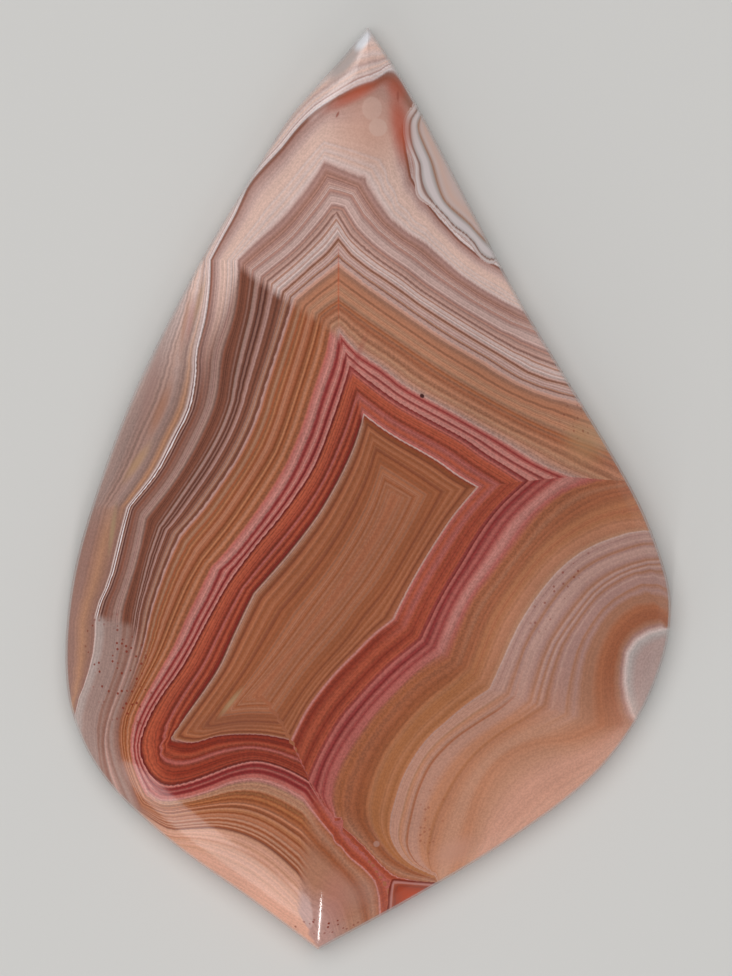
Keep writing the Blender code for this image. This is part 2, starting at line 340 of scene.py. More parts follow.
WALLS = {
    "north_west": (["north_left", "shoulder"], {
        0: [[(290, 70), (230, 150)]],
        1: [[(326, 101), (313, 110), (296, 127), (280, 147), (262, 166), (248, 183), (241, 198), (233, 216),
         (222, 236)]],
        2: [[(315, 178), (304, 193), (288, 213), (273, 228), (258, 241)]],
        3: [[(320, 203), (308, 218), (295, 234), (280, 248), (266, 259)]],
        5: [[(327, 253), (313, 265), (300, 277)]],
        6: [[(326, 271), (313, 281)]],
        7: [[(329, 307)]],
        8: [[]],
    }),
    "north": (["north_left", "north_right"], {
        0: [[(370, 0)]],
        1: [[(357, 83), (377, 75), (396, 66)]],
        1.5: [[(355, 143)]],
        2: [[(343, 170.5)]],
        3: [[(341, 191.5)]],
        4: [[]],
    }),
    "north_east": (["north_right", "east"], {
        0: [[(460, 130), (520, 240), (640, 400)]],
        1: [[(405, 122), (406, 140), (414, 183), (428, 202), (450, 229), (475, 252), (497, 264), (540, 300),
         (640, 430)]],
        2: [[(371, 192), (382, 209), (398, 228), (420, 240), (440, 257), (468, 281), (492, 295), (510, 306),
         (530, 315), (600, 350)]],
        3: [[(358, 206), (371, 222), (389, 240), (410, 254), (430, 270), (450, 284), (470, 298), (492, 311),
         (514, 323), (540, 333), (620, 370)]],
        4: [[(346, 230), (361, 246), (380, 261), (401, 275), (420, 290), (462, 317), (505, 343), (527, 354),
         (550, 363), (630, 395)]],
        5: [[(346, 249), (361, 263), (382, 277), (402, 291), (422, 306), (464, 333), (507, 359), (528, 372),
         (552, 381), (580, 388), (640, 410)]],
        6: [[(363, 280), (404, 309), (445, 337), (488, 362), (509, 376), (532, 387), (555, 395), (582, 402),
         (640, 425)]],
        7: [[(365, 320), (406, 348), (448, 376), (491, 401), (535, 424), (558, 434), (581, 444),
         (605, 452)]],
        8: [[(356, 351), (381, 367), (402, 384), (424, 397), (452, 412), (480, 428), (508, 444),
         (540, 464)]],
        9: [[(377, 387), (398, 402), (419, 414), (463, 438), (484, 453), (505, 466)]],
        10: [[(381, 428), (400, 440), (420, 451), (440, 463), (458, 476)]],
        11: [[(395, 462), (418, 477)]],
        12: [[]],
        13: [[]],
    }),
    "west": (["shoulder", "crook", "heel", "toe_left", "foot_left"], {
        0: [[(163, 295), (136, 355), (107, 415), (86, 475)], [(52, 600), (50, 665), (60, 730), (82, 800)],
         [(200, 930)], []],
        1: [[(209, 285), (205, 318), (197, 352), (196, 378), (190, 410), (176, 438), (158, 472)],
         [(122, 538), (112, 578), (98, 612), (96, 645), (88, 677), (77, 706), (76, 735), (90, 790)],
         [(200, 910), (260, 960)], []],
        2: [[(238, 280), (233, 315), (221, 352), (218, 378), (214, 402), (204, 427), (190, 455), (172, 484)],
         [(138, 555), (129, 585), (121, 612), (119, 640), (113, 670), (104, 697), (95, 725), (101, 775)],
         [(200, 895), (260, 940)], []],
        3: [[(250, 284), (246, 312), (238, 345), (231, 378), (228, 400), (218, 428), (203, 456), (185, 484)],
         [(147, 555), (141, 580), (134, 612), (130, 640), (122, 670), (111, 700), (102, 740), (108, 780)],
         [(200, 875), (250, 905), (290, 930)], []],
        5: [[(276, 320), (268, 348), (255, 388), (247, 412), (236, 438), (218, 470), (197, 500), (183, 519)],
         [(160, 560), (151, 585), (143.5, 608), (139, 635), (132, 662), (123, 688), (112, 714), (107, 738),
         (112, 765), (121, 788)], [(165, 840), (200, 846), (240, 862), (270, 883)], [(306, 925)]],
        6: [[(286, 320), (277, 348), (264, 388), (257, 412), (246, 438), (234, 461), (221.5, 480),
         (201.5, 508.5), (190, 521.5)], [(167, 561), (156, 592), (149, 615), (144, 640), (137, 664),
         (128, 688), (118, 714), (115, 738), (119, 762), (129, 786)], [(168, 828), (192, 828), (216, 827),
         (240, 832), (262, 842), (281, 856)], [(314, 893), (338, 903)]],
        7: [[(312, 343), (297, 391), (281, 438), (270, 461), (244, 502), (228, 525)], [(187, 583),
         (172, 617), (158, 652), (146, 676), (134, 699), (124, 724), (125, 755), (134, 784)], [(165, 812),
         (190, 809), (225, 805), (250, 807), (275, 817)], [(318, 851), (340, 872), (356, 895)]],
        8: [[(338, 345), (335, 362), (328, 381), (320, 405), (313, 428), (303, 452), (293, 474), (280, 496),
         (266, 516), (251, 536), (235, 556)], [(208, 597), (196, 619), (185, 642), (172, 663), (159, 684),
         (146, 706), (136, 730), (134, 753), (141, 775)], [(161, 800), (185, 798), (209, 791), (232, 782),
         (257, 779), (281, 786)], [(320, 820), (336, 839), (350, 857), (365, 869), (377, 884), (380, 905)]],
        9: [[(344, 385), (333, 418), (317, 460), (300, 489), (278, 519), (262, 538), (247, 557)],
         [(224, 590), (215, 606), (203, 628), (191, 651), (180, 670), (161, 696), (147, 721), (139, 745),
         (144, 766)], [(167, 787), (186, 784), (209, 776), (232, 767), (257, 762), (284, 769)], [(325, 808),
         (345, 838), (366, 858), (379, 873), (391, 893)]],
        10: [[(355, 444), (345, 467), (333, 490), (316, 518), (290, 552), (271.5, 573.5)], [(246, 609),
         (233, 637), (220, 666), (204, 691), (185, 717)], [(190, 744), (215, 737), (240, 735), (266, 736)],
         []],
        11: [[(366, 484), (347, 523), (322, 562), (300, 590)], [(262, 645), (240, 680)], [(244, 721)], []],
        12: [[(375, 525), (350, 568)], [(285, 655)], [], []],
        13: [[(378, 530), (352, 570)], [(290, 655)], [], []],
    }),
    "east": (["east", "waist", "toe_right", "foot_right"], {
        0: [[(760, 600), (700, 655), (672, 662), (662, 690)], [(620, 830), (560, 870)], []],
        1: [[(690, 630), (662, 628), (642, 636), (629, 648), (625, 668), (625, 688), (631, 712)],
         [(600, 765), (560, 790), (500, 850)], []],
        2: [[(700, 620), (655, 606), (636, 610), (618, 624), (607, 645), (600, 669), (599, 696)],
         [(570, 740), (535, 744), (508, 756), (490, 775), (476, 805), (465, 850)], []],
        3: [[(700, 590), (651, 583), (628, 591), (607, 605), (592, 624), (580, 645), (573, 669), (568, 695)],
         [(545, 725), (522, 736), (500, 750), (482, 768), (468, 790), (456, 818), (446, 850)], []],
        4: [[(700, 565), (663, 564), (643, 566), (619, 575), (598, 589), (584, 605), (570, 624), (556, 645),
         (545, 675)], [(520, 717), (498, 731), (476, 748), (458, 768), (444, 790), (432, 814)], [(432, 869),
         (460, 890)]],
        5: [[(700, 550), (655, 547), (636, 550), (612, 558), (590, 569), (571, 585), (556, 603), (543, 623),
         (530, 645), (521, 670)], [(497, 709), (475, 723), (452, 739), (430, 762), (416, 792)], [(406, 846),
         (417, 864), (440, 876)]],
        6: [[(700, 535), (651, 531), (631, 533), (609, 540), (586, 550), (563, 567), (545, 587), (530, 608),
         (517, 630), (507, 652), (498, 672)], [(467, 704), (448, 720), (429, 737), (414, 757), (401, 782)],
         [(390, 833), (396, 849), (407, 862), (422, 871), (441, 878)]],
        7: [[(640, 490), (612, 496), (587, 507), (565, 521), (545, 538), (528, 557), (513, 577), (498, 598),
         (485, 620), (476, 645)], [(452, 684), (435, 697), (417, 714), (401, 733), (387, 753), (375, 780)],
         [(371, 822), (380, 840), (395, 858), (418, 872), (445, 882)]],
        7.5: [[(600, 484), (576, 490), (556, 503), (538, 521), (523, 541), (508, 560), (493, 580),
         (478, 599), (467, 622), (459, 643)], [(424, 680), (405, 697), (389, 716), (374, 736), (361, 758),
         (350, 783)], [(351, 824), (364, 842), (382, 861), (405, 873), (440, 882)]],
        8: [[(552, 490), (536, 504), (518, 522), (500, 548), (486, 568), (470, 590), (455, 618)],
         [(424, 664), (408, 678), (391, 695), (374, 713), (358, 735), (344, 756), (333, 779)], [(335, 818),
         (345, 831), (357, 840), (367, 849), (382, 867), (392, 876), (407, 880), (433, 884)]],
        9: [[(504, 503), (488, 522), (474, 543), (461, 565), (448, 586), (436, 608)], [(408, 651),
         (391, 665), (374, 682), (357, 701), (341, 720), (327, 743), (316, 765)], [(325, 808), (345, 838),
         (366, 858), (379, 873), (391, 893)]],
        10: [[(455, 513), (441, 533), (427, 555), (414, 577), (403, 598)], [(373, 635), (355, 653),
         (337, 671), (321, 690), (306, 711)], []],
        11: [[(425, 520), (405, 555), (385, 588)], [(345, 640), (310, 680)], []],
        12: [[(387, 530), (362, 570)], [(295, 655)], []],
        13: [[(378, 530), (352, 570)], [(290, 655)], []],
    }),
}
INLAYS = {
    "tip_lens": {
        -1: [(400, 95), (391, 125), (396, 160), (400, 190), (418, 215), (445, 240), (470, 262), (505, 278)],
        0: [(418, 92), (412, 107), (406, 114), (403, 125), (403.5, 136), (406, 145), (410, 154), (413, 161),
         (414, 170), (413, 177.5), (415, 185), (415.6, 194), (420, 200), (427.5, 204), (434, 208),
         (440, 215), (446, 221), (452.5, 229), (461, 235), (467.5, 240), (472.5, 247.5), (480, 257.5),
         (490, 264), (499, 261), (515, 262)],
        1: [(426, 94), (416, 112.5), (411, 120), (410, 131), (412, 144), (415.6, 154), (420, 164),
         (420.6, 172.5), (422, 182.5), (426, 192.5), (432.5, 202.5), (440, 211), (446, 217), (455, 227.5),
         (462.5, 232.5), (470, 239), (475, 244), (480, 252.5), (487.5, 259), (496, 260), (515, 258)],
        2: [(432, 96), (420, 118), (419, 130), (426, 147.5), (432.5, 162.5), (436, 175), (439, 186),
         (444, 199), (451, 207.5), (460, 215), (470, 224), (477.5, 232.5), (490, 244), (500, 250),
         (515, 254)],
        3: [(460, 90), (450, 120), (456, 140), (470, 165), (480, 185), (490, 200), (505, 220), (515, 235),
         (525, 245)],
    },
    "pocket": {
        -1: [(376, 940), (378, 905), (383, 876), (390, 870), (414, 873), (450, 874)],
        0: [(386, 940), (388, 905), (391, 881), (394, 879), (412, 881), (450, 884)],
        1: [(390, 940), (391.5, 905), (393.5, 885), (396, 883), (412, 884), (450, 887)],
        2: [(393, 940), (394.5, 905), (396.5, 888), (399, 886.5), (412, 887), (450, 890)],
        3: [(425, 940), (425, 915), (426, 908), (428, 907), (436, 906), (450, 905)],
    },
}
print("walls", len(WALLS), "seams", len(SEAMS), "inlays", len(INLAYS))

# %% [markdown]
# Between the given lines the levels are filled in by a sheet: the lines are laid at the height of
# their level and each is extruded to the next. A plumb line through the sheet then tells the level
# anywhere. Each sheet runs a little past its seams. At any place the least of the walls' levels is
# the true one, because that wall's layers arrived first, and this keeps the seams sharp whatever
# the mesh. A second number, the station, tells how far along its wall a place is.

# %% Lay the sheets
POINTS_PER_SPAN = 22
POINTS_PER_INLAY_LINE = 90
PAST_SEAM_PX = 16


def line_of_places(seams, level, spans):
    """One drawn line as evenly spaced places, and the same number between each pair of seams."""
    places = []
    end = None
    for index, (first, second) in enumerate(zip(seams, seams[1:])):
        start = SEAMS[first].get(level, end)
        end = SEAMS[second].get(level, start)
        span = spans[index] if index < len(spans) else []
        if start == end and not span:
            line = [Vector(start), Vector(end)]
        else:
            line = smooth_line([start, *span, end])
        places += evenly_spaced(line, POINTS_PER_SPAN)
    return places


def past_the_seams(places):
    """The same line made longer at both ends, straight on."""
    before = places[0] - places[1]
    after = places[-1] - places[-2]
    first = places[0] + before.normalized() * PAST_SEAM_PX
    last = places[-1] + after.normalized() * PAST_SEAM_PX
    return [first, *places, last]


def sheet_of(lines):
    """A sheet over the lines, each at the height of its level, and its layer of stations."""
    bm = bmesh.new()
    stations = bm.verts.layers.float.new("station")
    row = None
    for level, line in sorted(lines.items()):
        places = [(place.x, place.y, level) for place in line]
        if row is None:
            row = [bm.verts.new(place) for place in places]
            for pair in zip(row, row[1:]):
                bm.edges.new(pair)
        else:
            row = extruded(bm, row, places, closed=False)
        for index, vert in enumerate(row):
            vert[stations] = (index - 1) / POINTS_PER_SPAN
    bm.faces.ensure_lookup_table()
    return bm, stations


# %% Read the sheets at every point of the stone
WALL_NOT_REACHED = 40.0
OUTSIDE_INLAY = -40.0
BELOW_THE_SHEETS = -5.0


def read_sheet(bm, stations, spots, not_reached):
    tree = BVHTree.FromBMesh(bm)
    readings = []
    for spot in spots:
        hit, _, index, _ = tree.ray_cast((spot.x, spot.y, BELOW_THE_SHEETS), (0, 0, 1))
        if hit is None:
            readings += [not_reached, 0.0, 0.0]
            continue
        corners = bm.faces[index].verts[:]
        weights = interpolate.poly_3d_calc([corner.co for corner in corners], hit)
        station = sum(weight * corner[stations] for weight, corner in zip(weights, corners))
        readings += [hit.z, station, 0.0]
    return readings


def note_readings(name, lines, not_reached):
    bm, stations = sheet_of(lines)
    readings = read_sheet(bm, stations, spots, not_reached)
    attribute = mesh.attributes.new(name, "FLOAT_VECTOR", "POINT")
    attribute.data.foreach_set("vector", readings)
    reached = sum(level != not_reached for level in readings[::3])
    print(name, "reaches", reached, "of", len(spots), "points")
    bm.free()


spots = [seen_at(vertex.co) for vertex in mesh.vertices]
for wall, (seams, lines) in WALLS.items():
    lines = {level: past_the_seams(line_of_places(seams, level, spans)) for level, spans in lines.items()}
    note_readings(wall, lines, WALL_NOT_REACHED)
for inlay, lines in INLAYS.items():
    lines = {level: evenly_spaced(smooth_line(line), POINTS_PER_INLAY_LINE) for level, line in lines.items()}
    note_readings(inlay, lines, OUTSIDE_INLAY)

# %% [markdown]
# The finish is written as sums on wires: a small class wraps a node's output, and Python's signs
# lay Math nodes between them. Its add method makes any other node. Colours are written the way a
# painter's chart gives them and turned into the linear light that Blender reckons with.

# %% Make sums on wires
class Wire:
    def __init__(self, socket):
        self.socket = socket

    def add(self, kind, settings, sockets, out=0):
        """Adds a node of any kind and gives one of its outputs."""
        tree = self.socket.id_data
        node = tree.nodes.new(kind)
        for name, value in settings.items():
            if name == "stops":
                lay_stops(node.color_ramp, value)
            else:
                setattr(node, name, value)
        for name, value in sockets.items():
            if isinstance(value, Wire):
                tree.links.new(value.socket, node.inputs[name])
            else:
                node.inputs[name].default_value = value
        return Wire(node.outputs[out])

    def math(self, operation, *values):
        return self.add("ShaderNodeMath", {"operation": operation}, dict(enumerate(values)))

    def __add__(self, other):
        return self.math("ADD", self, other)

    def __sub__(self, other):
        return self.math("SUBTRACT", self, other)

    def __rsub__(self, other):
        return self.math("SUBTRACT", other, self)

    def __mul__(self, other):
        return self.math("MULTIPLY", self, other)

    def __truediv__(self, other):
        return self.math("DIVIDE", self, other)

    def __lt__(self, other):
        return self.math("LESS_THAN", self, other)

    def __gt__(self, other):
        return self.math("GREATER_THAN", self, other)

    __radd__ = __add__
    __rmul__ = __mul__

    def least(self, other):
        return self.math("MINIMUM", self, other)

    def ramp(self, start, end, low=0.0, high=1.0):
        """Runs softly from low to high while this value runs from start to end."""
        return self.add("ShaderNodeMapRange", {"interpolation_type": "SMOOTHSTEP"},
                        {0: self, 1: start, 2: end, 3: low, 4: high})

    def mixed(self, other, share):
        """This colour mixed with another one."""
        return self.add("ShaderNodeMix", {"data_type": "RGBA"}, {0: share, 6: self, 7: other}, out=2)


def lay_stops(ramp, stops):
    while len(ramp.elements) > 1:
        ramp.elements.remove(ramp.elements[-1])
    ramp.elements[0].position = stops[0][0]
    ramp.elements[0].color = stops[0][1]
    for position, colour in stops[1:]:
        ramp.elements.new(position).color = colour


def linear(chart_value):
    share = chart_value / 255
    if share <= 0.04045:
        return share / 12.92
    return ((share + 0.055) / 1.055) ** 2.4


def paint(chart_colour):
    return (*(linear(value) for value in bytes.fromhex(chart_colour)), 1.0)


# %% [markdown]
# The stone's own colours, from the milky lines near the outside to the wine red inside, and one
# bluish white that paints a glint at the long tip. Many of them are single readings of the
# photograph.

# %% Name the colours
POLISH_VEIL = 0.015  # what a polished face adds to the colours that are read off it


def stone_colour(chart_colour):
    """A colour read off the polished face, without the thin veil that the polish lays over it."""
    *seen, alpha = paint(chart_colour)
    return (*(max(part - POLISH_VEIL, 0.0) for part in seen), alpha)


TONES = {name: stone_colour(chart) for name, chart in {
    "milk": "d3c6c5", "shell": "cbb4ae", "petal": "bb9c94", "blush": "b08b80", "mauve": "a37d74",
    "dove": "aea29e", "taupe": "94756b", "dusk": "865f54", "umber": "7c4d3e", "cocoa": "6d4336",
    "plum": "5b362f", "ink": "452826", "sand": "a2775f", "wheat": "ab745a", "peach": "b4836b",
    "honey": "a46c4d", "amber": "9c6341", "ginger": "93573a", "rust": "88492e", "toffee": "8d5136",
    "clay": "985c42", "fawn": "9e6e58", "coral": "b17a5f", "salmon": "b2766d", "rose": "a35b53",
    "berry": "8b3d3a", "crimson": "7b2d2c", "wine": "692622", "brick": "9d4d38", "ember": "8c4030",
    "garnet": "7a3226", "flame": "b5482a", "ash": "a3908a", "pewter": "957a72", "smoke": "8b675c",
    "apricot": "bf8d79", "cream": "d0afa2", "moss": "a8926f", "pearl": "a98f89", "straw": "b38c66",
    "rosy": "b08270", "dusty": "a2776a", "walnut": "7d4531", "chestnut": "8c5034", "hazel": "955a3e",
    "caramel": "a26549", "tan": "9a664e", "glint_white": "e2e4ea",
}.items()}

# %% [markdown]
# Each wall's layers took their colours from what the water carried while they grew. A colour ramp
# over the level gives them, and each list below says which tone stands at which level. One ramp
# holds at most 32 stops, so a long list is laid on several ramps, each taking over where the last
# one ends.

# %% Lay the bands of each wall
def bands(listed):
    """The levels and tones of a list such as "1 milk, 2 rose"."""
    return [(float(level), tone) for level, tone in (stop.split() for stop in listed.split(","))]


NORTH_BANDS = bands("""
    0.5 shell, 0.62 cream, 0.7 shell, 0.75 cream, 0.8 petal, 0.84 shell, 0.88 cream, 0.91 shell, 0.935 shell,
    0.955 mauve, 0.97 milk, 0.995 shell, 1.02 milk, 1.045 dusk, 1.08 umber, 1.13 mauve, 1.3 petal,
    1.45 cream, 1.6 cream, 1.64 shell, 1.68 cream, 1.78 shell, 1.82 cream, 1.9 shell, 1.98 petal, 2.05 mauve,
    2.2 mauve, 2.35 dusty, 2.5 dusty, 2.65 mauve, 2.8 blush, 2.95 petal, 3.02 dusty, 3.1 mauve, 3.25 petal,
    3.52 petal, 3.6 mauve, 3.68 dusty, 3.78 blush, 3.9 blush, 4.01 dusk, 4.08 blush, 4.2 petal, 4.27 fawn,
    4.36 petal, 4.5 shell, 4.6 blush, 4.7 shell, 4.84 petal, 4.93 blush, 5.01 umber, 5.08 fawn, 5.2 blush,
    5.4 petal, 5.48 mauve, 5.58 petal, 5.72 fawn, 5.8 dusk, 5.88 blush, 5.97 petal, 6.02 blush, 6.1 rosy,
    6.22 fawn, 6.33 wheat, 6.44 tan, 6.55 wheat, 6.66 sand, 6.77 coral, 6.88 sand, 6.96 wheat, 7.0 ginger,
    7.1 tan, 7.21 clay, 7.32 tan, 7.43 wheat, 7.54 tan, 7.65 sand, 7.76 fawn, 7.87 rosy, 7.98 blush,
    8.06 salmon, 8.13 rose, 8.22 crimson, 8.32 rose, 8.42 salmon, 8.54 salmon, 8.62 crimson, 8.7 rose,
    8.82 salmon, 8.94 salmon, 8.99 wine, 9.03 berry, 9.1 rose, 9.22 brick, 9.34 brick, 9.5 ember, 9.62 rose,
    9.78 brick, 9.9 rose, 9.965 rose, 9.98 petal, 10.005 petal, 10.03 ember, 10.12 rust, 10.3 rust, 13.0 clay
""")
WEST_BANDS = bands("""
    0.1 dove, 0.3 pewter, 0.4 pewter, 0.5 taupe, 0.6 taupe, 0.72 pewter, 0.8 taupe, 0.86 sand, 0.9 sand,
    0.93 pewter, 0.942 shell, 0.954 shell, 0.964 plum, 0.974 plum, 0.984 milk, 0.998 milk, 1.015 umber,
    1.05 umber, 1.07 taupe, 1.1 taupe, 1.13 plum, 1.16 plum, 1.2 dusk, 1.32 umber, 1.45 dusk, 1.6 dusk,
    1.7 taupe, 1.82 mauve, 1.92 taupe, 2.0 taupe, 2.1 dusk, 2.22 umber, 2.5 cocoa, 2.8 umber, 2.9 cocoa,
    2.97 dusk, 3.02 dusk, 3.1 cocoa, 3.22 cocoa, 3.32 taupe, 3.46 mauve, 3.55 dusk, 3.64 cocoa, 3.74 plum,
    3.82 dusk, 3.9 dusk, 4.0 plum, 4.08 cocoa, 4.18 dusk, 4.32 mauve, 4.44 mauve, 4.5 umber, 4.65 umber,
    4.85 cocoa, 5.0 umber, 5.15 dusk, 5.32 fawn, 5.45 taupe, 5.6 fawn, 5.72 umber, 5.86 cocoa, 5.96 umber,
    5.99 mauve, 6.05 mauve, 6.12 clay, 6.22 ginger, 6.3 sand, 6.4 rust, 6.5 honey, 6.6 rust, 6.7 wheat,
    6.8 clay, 6.9 rust, 7.02 honey, 7.1 rust, 7.2 ginger, 7.3 wheat, 7.42 ginger, 7.55 clay, 7.64 rose,
    7.8 salmon, 7.92 salmon, 8.0 berry, 8.12 crimson, 8.24 rose, 8.4 salmon, 8.5 rose, 8.6 crimson,
    8.7 crimson, 8.8 rose, 8.92 salmon, 8.96 salmon, 8.99 wine, 9.04 wine, 9.08 brick, 9.22 brick, 9.4 ember,
    9.5 garnet, 9.56 rose, 9.62 brick, 9.7 garnet, 9.8 brick, 9.88 garnet, 9.94 wine, 9.985 plum, 10.0 fawn,
    10.03 blush, 10.07 fawn, 10.25 clay, 13.0 clay
""")
HEEL_BANDS = bands("""
    0.2 smoke, 0.5 smoke, 0.7 sand, 0.9 smoke, 0.955 smoke, 0.975 shell, 0.995 ash, 1.2 ash, 1.4 pewter,
    2.1 pewter, 2.3 smoke, 2.5 smoke, 2.6 taupe, 2.9 smoke, 3.2 dusk, 3.5 dusk, 3.7 smoke, 3.9 pewter,
    4.2 blush, 4.5 mauve, 4.8 taupe, 5.1 smoke, 5.4 pewter, 5.7 taupe, 6.0 smoke, 6.3 dusk, 6.6 umber,
    7.0 umber
""")
SOUTH_BANDS = bands("""
    3.0 apricot, 4.4 apricot, 4.9 peach, 5.0 apricot, 5.3 peach, 5.4 wheat, 5.5 apricot, 5.6 peach,
    5.75 apricot, 5.9 peach, 5.97 umber, 6.05 rust, 6.1 peach, 6.16 rust, 6.25 peach, 6.3 clay, 6.35 rust,
    6.44 peach, 6.5 clay, 6.62 wheat, 6.67 rust, 6.8 honey, 6.86 wheat, 6.92 rust, 7.0 clay, 7.06 wheat,
    7.12 clay, 7.2 ginger, 7.27 rust, 7.34 amber, 7.42 toffee, 7.49 amber, 7.56 toffee, 7.66 sand, 7.76 fawn,
    7.86 sand, 7.95 salmon, 8.04 salmon, 8.12 rose, 8.26 rose, 8.38 crimson, 8.52 crimson, 8.64 rose,
    8.74 crimson, 8.88 crimson, 8.95 rose, 9.0 salmon, 9.04 wine, 9.14 ember, 9.3 garnet, 9.46 ember,
    9.54 rose, 9.62 garnet, 9.7 brick, 9.8 garnet, 9.96 garnet, 10.04 wine, 10.07 salmon, 10.1 fawn,
    10.2 clay, 13.0 clay
""")
EAST_BANDS = bands("""
    0.2 pearl, 0.7 pearl, 0.9 dove, 1.0 shell, 1.06 petal, 1.14 mauve, 1.3 fawn, 1.5 clay, 1.75 clay,
    2.05 caramel, 2.3 fawn, 2.6 fawn, 2.8 mauve, 3.0 fawn, 3.1 mauve, 3.4 mauve, 3.48 blush, 3.56 mauve,
    3.75 fawn, 3.85 mauve, 3.92 blush, 4.02 fawn, 4.1 mauve, 4.18 blush, 4.28 fawn, 4.5 mauve, 4.7 blush,
    4.98 blush, 5.1 mauve, 5.22 fawn, 5.4 mauve, 5.55 blush, 5.8 mauve, 5.95 blush, 6.0 petal, 6.05 sand,
    6.2 wheat, 6.4 wheat, 6.6 honey, 6.7 caramel, 6.8 honey, 7.0 clay, 7.2 clay, 7.3 tan, 7.45 clay,
    7.6 clay, 7.8 rose, 7.95 salmon, 8.1 salmon, 8.28 rose, 8.4 berry, 8.56 rose, 8.72 berry, 8.8 crimson,
    8.92 rose, 8.98 rose, 9.0 wine, 9.05 berry, 9.15 brick, 9.35 ember, 9.5 brick, 9.62 rose, 9.8 brick,
    9.95 rose, 9.985 blush, 10.005 blush, 10.03 clay, 13.0 clay
""")
# The pale apricot, peach and coral of the outer levels below are partly the lobe's own colour and partly a
# painted sheen along the lower right edge.
SOUTH_EAST_BANDS = bands("""
    0.5 dove, 0.9 apricot, 1.4 apricot, 1.7 peach, 2.0 coral, 2.3 coral, 2.7 peach, 3.1 peach, 3.5 coral,
    3.7 wheat, 3.82 honey, 3.95 coral, 4.2 coral, 4.5 rosy, 4.85 rosy, 4.93 clay, 5.0 fawn, 5.06 rosy,
    5.35 coral, 5.45 sand, 5.5 rosy, 5.93 rosy, 5.97 blush, 6.03 honey, 6.2 amber, 6.4 honey, 6.6 amber,
    6.8 amber, 6.98 honey, 7.1 ginger, 7.25 toffee, 7.5 clay, 7.7 ginger, 7.86 clay, 8.0 rose, 8.2 rose,
    8.36 berry, 8.52 rose, 8.68 crimson, 8.8 berry, 8.92 rose, 9.0 rose, 9.03 berry, 9.15 brick, 9.35 garnet,
    9.5 brick, 9.62 brick, 9.8 garnet, 9.93 ember, 9.985 salmon, 10.02 salmon, 10.08 clay, 13.0 clay
""")
SUTURE_BANDS = bands("""
    5.5 mauve, 6.2 fawn, 6.8 fawn, 7.2 toffee, 7.6 fawn, 7.9 clay, 7.97 salmon, 8.02 salmon, 8.08 brick,
    8.3 ember, 8.6 brick, 9.0 rose
""")
CENTRE_BANDS = bands("""
    10.1 hazel, 10.18 chestnut, 10.28 walnut, 10.36 hazel, 10.44 caramel, 10.52 chestnut, 10.6 hazel,
    10.68 caramel, 10.76 chestnut, 10.86 hazel, 10.94 walnut, 11.02 chestnut, 11.08 hazel, 11.16 chestnut,
    11.24 hazel, 11.3 chestnut, 11.38 tan, 11.46 hazel, 11.54 tan, 11.62 caramel, 11.7 chestnut, 11.78 tan,
    11.88 hazel, 12.0 tan, 12.2 clay, 12.35 tan, 12.5 caramel, 13.0 clay
""")
TIP_LENS_BANDS = bands("""
    0.0 petal, 0.08 shell, 0.2 petal, 0.35 milk, 0.7 shell, 0.86 pewter, 0.94 taupe, 1.0 smoke, 1.08 dove,
    1.3 milk, 1.6 milk, 1.82 dove, 1.96 sand, 2.08 shell, 2.2 cream, 2.4 shell, 2.6 cream, 3.0 shell
""")
POCKET_BANDS = bands("""
    0.0 garnet, 0.3 garnet, 0.7 salmon, 1.0 salmon, 1.3 brick, 1.8 ember, 2.4 flame, 3.0 flame
""")
STOPS_PER_RAMP = 30
print("stops of the north, west and east", len(NORTH_BANDS), len(WEST_BANDS), len(EAST_BANDS))


def banded(level, stops_of_wall):
    """The bands' colours over the level, on as many colour ramps as they need."""
    laid = None
    for first in range(0, len(stops_of_wall) - 1, STOPS_PER_RAMP):
        part = stops_of_wall[first:first + STOPS_PER_RAMP + 1]
        low, high = part[0][0], part[-1][0]
        stops = [((at - low) / (high - low), TONES[tone]) for at, tone in part]
        colours = level.add("ShaderNodeValToRGB", {"stops": stops}, {0: (level - low) / (high - low)})
        laid = colours if laid is None else laid.mixed(colours, level > low)
    return laid
